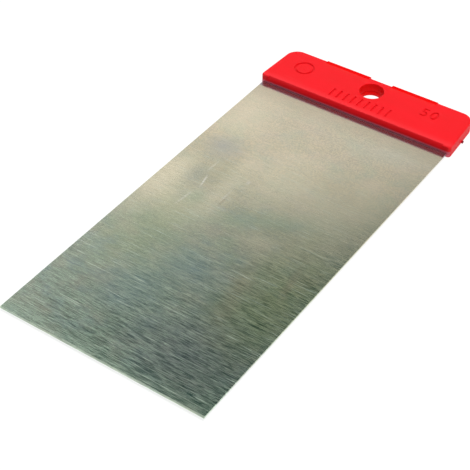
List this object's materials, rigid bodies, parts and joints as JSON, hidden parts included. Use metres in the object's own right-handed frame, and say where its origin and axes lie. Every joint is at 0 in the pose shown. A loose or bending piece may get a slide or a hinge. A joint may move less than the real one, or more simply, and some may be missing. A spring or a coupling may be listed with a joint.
{
  "type": "japanese spatula",
  "caption": "Flat flexible steel spatula for spreading filler, with a slim red plastic handle folded shut over the back of the blade and a hanging hole.",
  "frame": {"origin": "on the surface the handle lies on, under the middle of the tool's length and width", "axes": "+Y from the working edge to the handle, +Z out of the handle's upper face, X across the blade"},
  "size_m": [0.0516, 0.1084, 0.003],
  "materials": {
    "spring_steel": "fine lines across the blade, satin, lightly stained",
    "red_plastic": "semi-matt moulded"
  },
  "bodies": {
    "base": {"blade": "spring_steel", "lower_shell": "red_plastic"},
    "spine": {"hinge_strap_left": "red_plastic", "hinge_strap_right": "red_plastic"},
    "cover": {"upper_shell": "red_plastic"}
  },
  "joints": [
    {"name": "spine_fold", "type": "hinge", "parent": "base", "child": "spine", "pos_m": [0, 0.054, 0.0002], "axis": [-1, 0, 0], "range_deg": [0, 90]},
    {"name": "cover_fold", "type": "hinge", "parent": "spine", "child": "cover", "pos_m": [0, 0.054, 0.00285], "axis": [-1, 0, 0], "range_deg": [0, 90]}
  ],
  "couplings": [
    {"joint": "spine_fold", "follows": "cover_fold", "ratio": 1}
  ]
}
